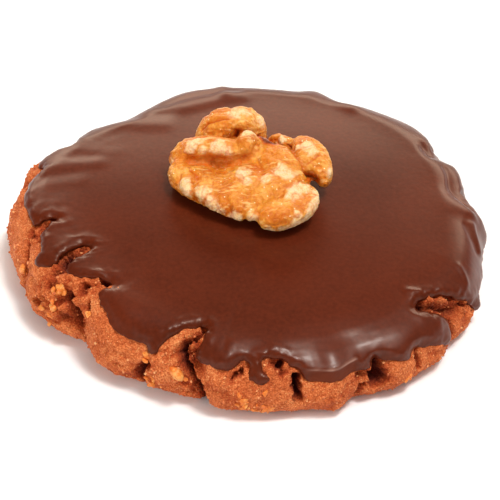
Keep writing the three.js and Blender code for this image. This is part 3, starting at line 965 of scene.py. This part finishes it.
# The half walnut: the halved kernel of a shelled nut, set on the icing before it hardens. It is a
# cluster of folded lobes in a thin amber skin, which is rubbed away to pale flesh on the folds.
# Lobes: start, middle and end of the path, half width, half height
LOBES = [
    ((-14.6, 6.6, 18.2), (-8.6, 0, 18.4), (1.6, -4.8, 18), 4.4, 2.5),
    ((-9, 3, 17.4), (0, 0, 19.4), (9.6, 0.4, 18.8), 4.8, 2.8),
    ((1.2, -3.4, 17.8), (5, -7.6, 18), (10.4, -1, 19), 4.4, 2.2),
    ((-15.2, 6.8, 18.6), (-9.5, 10.2, 22), (0, 5.6, 20.8), 2.7, 2.7),
    ((-9.8, 11.6, 18), (-7, 14.8, 21.8), (-2.4, 15, 21), 3.2, 3.6),
    ((-5.2, 14.8, 21), (-1.4, 15.2, 22), (1.8, 13, 19), 3.2, 3.4),
    ((-3.4, 9.4, 20.6), (-1.8, 8.2, 23.4), (0.8, 5.2, 21.2), 2.3, 2.5),
    ((0, 6.6, 19.8), (6, 4.4, 21), (10.6, 1, 18.6), 3.6, 2.8),
    ((0, 9.2, 21.8), (1.4, 8.8, 22), (3.8, 7.4, 21.2), 0.8, 1.0),
    ((2, 12.2, 19.2), (5.5, 11.2, 20), (8, 8.4, 19.4), 1.4, 2.0),
    ((6.2, 9.8, 19.6), (10.4, 8.6, 21.6), (12.7, 0.6, 18.4), 3.0, 2.6),
    ((-14.8, 6.4, 17.8), (-14.2, 5.4, 18.4), (-11, 4.4, 18.4), 1.8, 2.4),
    ((-10, 8, 16.6), (0, 6, 17), (9, 4, 16.6), 6.0, 3.0),
]
# Folds of the skin: points of the path, half width, height, how dark it is painted: own tone and painted
# shade
NUT_FOLDS = [
    ([(-11.6, 5.4, 20.2), (-3.7, 4.6, 20.4), (-1.5, 5.2, 21.2), (-0.1, 6.4, 22)], 1.2, -0.9, 0.35),
    ([(-15, 5.4, 17.6), (-14.1, 5.9, 18.4), (-12.9, 5.5, 19), (-11.5, 2.3, 20.1), (-10.1, -0.1, 20)],
     0.5, -0.35, 0.7),
    ([(-10.5, 9.6, 22.6), (-8.4, 9.4, 22.8), (-6.4, 9, 22.6), (-3.3, 8.4, 22.2)], 0.9, -0.8, 0.45),
    ([(-9.7, 13.1, 20.8), (-8.4, 13.1, 22.8), (-6.6, 13.1, 23.7), (-4.6, 12.9, 24.2)], 0.35, -0.5, 0.6),
    ([(-3.6, 9.4, 21.4), (-3.4, 11.8, 20.8), (-3.2, 11.8, 21.9), (-2.4, 12.1, 22.1)], 0.6, -0.6, 1.0),
    ([(-0.3, 11.7, 21.2), (0.5, 12, 20.4), (1, 12.2, 19.4), (2.5, 10.8, 19.3)], 0.6, -0.5, 1.0),
    ([(0.2, 9.2, 22.6), (1.4, 8.6, 22.4), (3.6, 7.4, 21.8)], 0.9, 0.2, 1.0),
    ([(2.8, 11.2, 20.6), (3.9, 10.7, 21.1), (4.4, 10, 20.8)], 0.5, -0.4, 0.5),
    ([(6.1, 9, 20.9), (7.1, 5.2, 21.8), (8.2, 3.2, 21.3), (9.2, 2, 20.6), (9.9, 1.6, 19.6)],
     0.7, -1.0, 0.6),
    ([(9.8, 1.6, 19.8), (10.7, 1.5, 18.7)], 0.9, -1.0, 1.0),
    ([(10.2, 2, 18.8), (10.4, 3, 18), (10.6, 4, 17.4)], 1.3, -0.8, 1.0),
    ([(9.4, 2.8, 21.2), (10.5, 3.7, 21.6), (11.4, 4.6, 22.2)], 0.35, -0.3, 0.5),
    ([(1.4, 6, 21.6), (4.2, 3.2, 22.4), (7.1, 1.9, 22), (9.2, 1.7, 19.9)], 0.7, -0.35, 0.2),
    ([(0.6, 3.6, 21.2), (1.3, 0.7, 21.6), (0.6, -2.2, 21.2), (-0.8, -3.1, 20.5)], 0.7, -0.4, 0.2),
    ([(-13.3, 1.5, 20.1), (-13.5, 0.1, 18.9)], 0.45, -0.45, 0.3),
    ([(-11, -0.8, 20.1), (-10.3, -2.8, 17.1)], 0.45, -0.45, 0.3),
    ([(-6.8, -4, 19.9), (-6, -5.8, 17.2)], 0.45, -0.45, 0.3),
    ([(-4.3, -5.6, 19.3), (-4, -6.6, 17)], 0.45, -0.45, 0.3),
    ([(-1.9, -5.6, 19.3), (-1.5, -5.8, 15.9)], 0.45, -0.4, 0.2),
    ([(0.3, -7.4, 16.4), (0.6, -6.9, 17.6), (0.8, -6, 18.7)], 0.6, -0.8, 0.3),
]
# Places where the skin is rubbed off the pale flesh: x, y, z, reach, height
RUBBED = [
    (-11.4, 6.5, 22.8, 1.5, 0.3), (-9.4, 5.7, 22.5, 1.0, 0.3), (-6.4, 5.6, 23.2, 1.7, 0.4),
    (-4.7, 4.9, 22.4, 1.4, 0.3), (-14.1, 6.6, 19.1, 1.2, 0.2), (-9.8, 7.6, 23.4, 1.2, 0.15),
    (-2.2, 0.6, 21.5, 1.5, 0.35), (-1.5, -1.6, 21.1, 0.9, 0.2), (2, -1, 21.5, 1.2, 0.3),
    (4.6, 0.7, 21.6, 1.5, 0.3), (6, -0.1, 21.3, 1.4, 0.3), (7, -3.9, 20.7, 1.6, 0.3),
    (8.5, -2.6, 20.6, 1.7, 0.3), (-12.8, -0.5, 19.8, 1.4, 0.35), (-12, -1.6, 18.9, 1.3, 0.3),
    (-9.2, -3.4, 19.8, 1.8, 0.45), (-7.9, -4.5, 18.9, 1.5, 0.35), (-6.7, -5.6, 17.9, 1.5, 0.4),
    (-3.3, -6.7, 17.4, 1.5, 0.4), (-0.6, -5.9, 17.7, 1.3, 0.4), (2.7, -8.6, 16.3, 1.5, 0.1),
    (5.6, -9.6, 16.8, 1.8, 0.1), (8.8, -7.9, 17.1, 1.8, 0.1), (10.2, -6.6, 19.1, 1.6, 0.1),
    (7.9, -8.3, 19.2, 1.0, 0.1), (10.9, -5, 19.2, 1.5, 0.1), (11.2, -3.2, 19.4, 1.3, 0.1),
    (7.2, -9.2, 17.6, 1.5, 0.1), (9.8, -7.4, 18, 1.5, 0.1), (-3.5, 14.2, 24.5, 1.6, 0.25),
    (-1.9, 14.4, 24.6, 1.4, 0.2), (1.4, 14.6, 22.6, 1.4, 0.25), (-1.2, 8.2, 24.6, 1.5, 0.25),
    (9.6, 6.4, 23.1, 1.4, 0.25), (10.5, 5.2, 22.6, 1.1, 0.2), (7.8, 6.3, 22.5, 0.7, 0.15),
    (13.5, 2.3, 19.9, 1.1, 0.15), (4.8, 10, 21.2, 1.2, 0.1), (-8, 16.6, 19, 1.8, 0.2),
    (-3, 18, 18.6, 2.0, 0.2), (3.4, 15.6, 19, 1.6, 0.2), (11, 9.6, 18.6, 1.6, 0.2),
    (-13.6, 9.4, 18.4, 1.6, 0.2), (7, 12.4, 18.4, 1.4, 0.2),
]
LOBE_SEGMENTS = 24
# Powers that make the section of a lobe squarer and its ends fuller
LOBE_SQUARENESS = 0.75
LOBE_FULLNESS = 3
NUT_VOXEL = 0.22
NUT_SMOOTHINGS = 16
NUT_SEAT = 15.0
# Share of the depth under the skin that does not count in the distance from a fold
FOLD_REACH = 0.85
FOLD_STRAY = 0.3
# Half width of the dark line in a fold, partly painted shade, as a share of the fold's
CREASE_SHARE = 0.7
# Relief of the skin: height, size
NUT_LUMP, NUT_LUMP_SIZE = 0.2, 2.2
NUT_PORE, NUT_PORE_SIZE = 0.14, 0.8
# Veins in the skin: half width, depth, darkness
VEIN_WIDTH, VEIN_DEPTH, VEIN_DARK = 0.06, 0.1, 0.25
# Rubbed places, in shares of their reach: half width of the rise, raggedness and span of the edge
RISE_WIDTH = 0.8
RUB_RAGGED = 0.5
RUB_EDGE = (0.6, 1.1)
# The front of the kernel bulges forward: how far, middle and half width, span from front to back
FRONT_REACH = 1.8
FRONT_MIDDLE = 0.5
FRONT_WIDTH = 7.5
FRONT_SPAN = (0.5, 8)
# Scuffs drawn across the skin: turn, and how often they come along each axis
SCUFF_TURN = (0, 0, math.radians(35))
SCUFF_SCALE = (350, 1800, 1200)


def squarer(share):
    return math.copysign(abs(share) ** LOBE_SQUARENESS, share)


def add_lobe(bm, start, middle, end, half_width, half_height):
    """A ball drawn out along a bowed path, with full ends and an upright oval section."""
    ball = bmesh.ops.create_uvsphere(bm, u_segments=LOBE_SEGMENTS, v_segments=LOBE_SEGMENTS, radius=1)
    start, middle, end = Vector(start), Vector(middle), Vector(end)
    for vertex in ball["verts"]:
        across, upright, length = vertex.co
        share = (length + 1) / 2
        centre = start * (1 - share) ** 2 + middle * 2 * share * (1 - share) + end * share ** 2
        heading = (middle - start) * (1 - share) + (end - middle) * share
        aside = heading.cross(Vector((0, 0, 1))).normalized()
        ring = math.sqrt(max(1 - length * length, 1e-9))
        fullness = math.sqrt(max(1 - abs(length) ** LOBE_FULLNESS, 0)) if ring > 1e-3 else 0
        across, upright = squarer(across / ring) * fullness, squarer(upright / ring) * fullness
        vertex.co = (centre + aside * across * half_width + Vector((0, 0, upright * half_height))) * MM


def remeshed(piece, voxel):
    """The piece's lobes fused into one even skin."""
    fuse = piece.modifiers.new("fuse", "REMESH")
    fuse.mode = "VOXEL"
    fuse.voxel_size = voxel * MM
    ready = piece.evaluated_get(bpy.context.evaluated_depsgraph_get())
    mesh = bpy.data.meshes.new_from_object(ready)
    bpy.data.objects.remove(piece)
    return mesh


def path_distance(places, normals, path):
    """Distance from a path, measured mostly along the skin."""
    nearest = np.full(len(places), np.inf)
    for start, end in zip(path, path[1:]):
        offset, _ = from_line(places, start, end)
        depth = (offset * normals).sum(axis=1)
        squared = np.maximum((offset ** 2).sum(axis=1) - FOLD_REACH * depth ** 2, 0)
        nearest = np.minimum(nearest, np.sqrt(squared))
    return nearest


def fuse_lobes():
    """The lobes grown into one kernel, with soft valleys between them."""
    bm = bmesh.new()
    for lobe in LOBES:
        add_lobe(bm, *lobe)
    bmesh.ops.recalc_face_normals(bm, faces=bm.faces[:])
    mesh = remeshed(add_piece("lobes", bm), NUT_VOXEL)
    bm = bmesh.new()
    bm.from_mesh(mesh)
    bpy.data.meshes.remove(mesh)
    every_way = {"use_axis_x": True, "use_axis_y": True, "use_axis_z": True}
    for _ in range(NUT_SMOOTHINGS):
        bmesh.ops.smooth_vert(bm, verts=bm.verts[:], factor=0.5, **every_way)
    return add_piece("walnut_half", bm)


def nut_relief(points, normals):
    """Height of the folds, veins and rubbed places, their darkness (own tone and painted shade), and how
    rubbed.
    """
    height = NUT_LUMP * soft_noise(points, NUT_LUMP_SIZE, 2, 39.0)
    height = height + NUT_PORE * soft_noise(points, NUT_PORE_SIZE, 3, 37.0)
    veins = bell(soft_noise(points, 5.0, 3, 53.0), VEIN_WIDTH)
    height = height - VEIN_DEPTH * veins
    crease = VEIN_DARK * veins
    strayed = points + FOLD_STRAY * stray_noise(points, 2.0, 2, (31.0, 33.0, 35.0))
    for path, width, fold, dark in NUT_FOLDS:
        away = path_distance(strayed, normals, path)
        height = height + fold * bell(away, width)
        crease = np.maximum(crease, dark * bell(away, CREASE_SHARE * width))
    rubbed = np.zeros(len(points))
    ragged = RUB_RAGGED * soft_noise(points, 1.1, 4, 43.0)
    for *centre, reach, rise in RUBBED:
        away = np.linalg.norm(points - centre, axis=1) / reach
        height = height + rise * bell(away, RISE_WIDTH)
        rubbed = np.maximum(rubbed, 1 - smoothstep(away + ragged, *RUB_EDGE))
    return height, crease, rubbed


def make_walnut():
    piece = fuse_lobes()
    points = vertex_vectors(piece.data) / MM
    normals = vertex_vectors(piece.data, "normal")
    height, crease, rubbed = nut_relief(points, normals)
    points = points + normals * height[:, None]
    bulge = bell(points[:, 0] - FRONT_MIDDLE, FRONT_WIDTH) * smoothstep(-points[:, 1], *FRONT_SPAN)
    points[:, 1] -= FRONT_REACH * bulge
    points[:, 2] = np.maximum(points[:, 2], NUT_SEAT)
    place_vertices(piece.data, points)
    keep_on_surface(piece.data, crease=crease, rubbed=rubbed)
    return piece


def nut_skin(tree):
    """Colour of the amber skin, scuffed, with pale specks painted on as glints."""
    amber = add_ramp(tree, mottle(tree, patch_scale=240.0, grain_scale=1600.0, grain_share=0.3), [
        (0.34, linear(196, 94, 16)),
        (0.5, linear(220, 134, 44)),
        (0.64, linear(236, 170, 82)),
    ])
    slant = {"Vector": object_place(tree), "Rotation": SCUFF_TURN, "Scale": SCUFF_SCALE}
    scratch = add_noise(tree, add_node(tree, "ShaderNodeMapping", slant).outputs[0], 1.0, 3.0)
    scuffs = add_ramp(tree, scratch, [(0.56, grey(0)), (0.68, grey(0.6))])
    scuffed = blend(tree, scuffs, amber, linear(250, 205, 134))
    # Painted highlights: tiny pale specks that stand in for glints on the moist skin
    painted_glints = specks(tree, scale=1300.0, size=0.17, share=0.3)
    return blend(tree, painted_glints, scuffed, linear(255, 232, 190))


def walnut_look(tree):
    grainy = mottle(tree, patch_scale=900.0, grain_scale=3200.0, grain_share=0.5)
    flesh = add_ramp(tree, grainy, [(0.38, linear(232, 176, 112)), (0.55, linear(245, 208, 160))])
    rubbed = surface_value(tree, "rubbed")
    dry = blend(tree, rubbed, nut_skin(tree), flesh)
    # Folds and veins go deep amber, then dark brown: partly the skin's own tone, partly painted shade
    crease = surface_value(tree, "crease")
    deep_amber_and_shade = add_ramp(tree, crease, [(0.05, grey(0)), (0.45, grey(1))])
    dark = add_ramp(tree, crease, [(0.45, grey(0)), (0.9, grey(1))])
    deep = blend(tree, deep_amber_and_shade, dry, linear(206, 94, 16))
    return {
        "Base Color": blend(tree, dark, deep, linear(112, 36, 8)),
        "Roughness": add_ramp(tree, rubbed, [(0, grey(0.28)), (1, grey(0.6))]),
        "Normal": add_bump(tree, scale=1300.0, detail=4.0, distance=0.0008, strength=0.7),
        "Specular IOR Level": 0.35,
        "Specular Tint": (1, 0.85, 0.62, 1),
        "Subsurface Weight": 0.3,
        "Subsurface Radius": (1.0, 0.45, 0.15),
        "Subsurface Scale": 0.0015,
    }


walnut = make_walnut()
walnut.data.materials.append(new_material("walnut_skin", walnut_look))
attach(walnut, "root")
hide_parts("walnut")

# The table: a plain white sweep under the biscuit, wide enough to fill every view.
FLOOR_SIZE = 3.0


def table_look(_):
    return {"Base Color": grey(0.95), "Roughness": 0.9}


def make_floor():
    bm = bmesh.new()
    bmesh.ops.create_grid(bm, x_segments=1, y_segments=1, size=FLOOR_SIZE / 2)
    floor = add_piece("floor", bm)
    floor.data.materials.append(new_material("white_table", table_look))
    return floor


make_floor()

# The studio: a soft light at the left, a weak fill from the front, a low warm card behind that the
# icing mirrors at its far rim, and a room with pale walls and a glow overhead in a dark ceiling.
# Lights: name, place in metres, width, height, colour, brightness, whether glossy things mirror it
LIGHTS = [
    ("side", (-1.1, -0.4, 0.5), 0.7, 0.7, (1, 0.96, 0.9), 4.0, False),
    ("card", (0.1, 1.3, 0.51), 2.0, 0.36, (1, 0.8, 0.62), 6.2, True),
    ("fill", (-0.3, -1.2, 0.6), 0.8, 0.8, (1, 1, 1), 1.7, False),
]
# Brightness of the walls by height: 0 at the floor, 1 straight up
WALLS = [(0.0, 0.45), (0.28, 0.38), (0.38, 0.14), (0.46, 0.01)]
WALL_TINT = (1, 0.9, 0.8)
# Share of that brightness that the wall at the right keeps: 0 straight ahead, 1 at the right
RIGHT_WALL = [(0.3, 1.0), (0.8, 0.35)]
# The glow overhead and the lamp in the middle of it: how narrow each is, brightness
GLOWS = [(10.0, 2.7), (160.0, 52.0)]
GLOW_TOWARDS = Vector((0.3, -0.1, 0.95)).normalized()
GLOW_COLOUR = (1, 0.99, 0.97, 1)


def add_light(name, place, width, height, colour, brightness, mirrored):
    lamp = bpy.data.lights.new(name, "AREA")
    lamp.color = colour
    lamp.shape = "RECTANGLE"
    lamp.size = width
    lamp.size_y = height
    lamp.energy = brightness * math.pi * width * height
    light = add_object(name, lamp)
    light.location = place
    light.visible_glossy = mirrored
    light.rotation_euler = (-Vector(place)).to_track_quat("-Z", "Y").to_euler()


def set_room():
    room = bpy.data.worlds.new("studio")
    room.use_nodes = True
    tree = room.node_tree
    direction = add_node(tree, "ShaderNodeTexCoord").outputs["Generated"]
    axes = add_node(tree, "ShaderNodeSeparateXYZ", {"Vector": direction}).outputs
    warm = [(at, (*[share * tint for tint in WALL_TINT], 1)) for at, share in WALLS]
    wall = add_ramp(tree, axes["Z"], warm)
    kept = add_ramp(tree, axes["X"], [(at, grey(share)) for at, share in RIGHT_WALL])
    walls = tree.nodes["Background"]
    set_inputs(tree, walls, {"Color": blend(tree, 1.0, wall, kept, "MULTIPLY")})
    pair = {0: direction, 1: GLOW_TOWARDS}
    toward = add_node(tree, "ShaderNodeVectorMath", pair, operation="DOT_PRODUCT")
    facing = add_maths(tree, "MAXIMUM", toward.outputs["Value"], 0.0)
    lit = walls.outputs[0]
    for narrowness, brightness in GLOWS:
        bright = add_maths(tree, "MULTIPLY", add_maths(tree, "POWER", facing, narrowness), brightness)
        glow = add_node(tree, "ShaderNodeBackground", {"Color": GLOW_COLOUR, "Strength": bright})
        lit = add_node(tree, "ShaderNodeAddShader", {0: lit, 1: glow.outputs[0]}).outputs[0]
    set_inputs(tree, tree.nodes["World Output"], {"Surface": lit})
    bpy.context.scene.world = room
    bpy.context.scene.view_settings.view_transform = "Standard"


for studio_light in LIGHTS:
    add_light(*studio_light)
set_room()

# The camera: a long lens, looking down on the front of the biscuit as in the photo.
CAMERA_ELEVATION = 39
CAMERA_DISTANCE = 600
FRAME_WIDTH = 90.6
SENSOR_WIDTH = 36
# Nearest distance that the camera sees, in metres
CLIP_START = 0.01
LOOK_AT = Vector((-0.8, -1.2, 5.0))


def add_camera():
    lens = bpy.data.cameras.new("camera")
    lens.sensor_width = SENSOR_WIDTH
    lens.lens = SENSOR_WIDTH * CAMERA_DISTANCE / FRAME_WIDTH
    camera = add_object("camera", lens)
    tilt = math.radians(CAMERA_ELEVATION)
    camera.location = (LOOK_AT + CAMERA_DISTANCE * Vector((0, -math.cos(tilt), math.sin(tilt)))) * MM
    camera.rotation_euler = (math.pi / 2 - tilt, 0, 0)
    lens.clip_start = CLIP_START
    bpy.context.scene.camera = camera


add_camera()
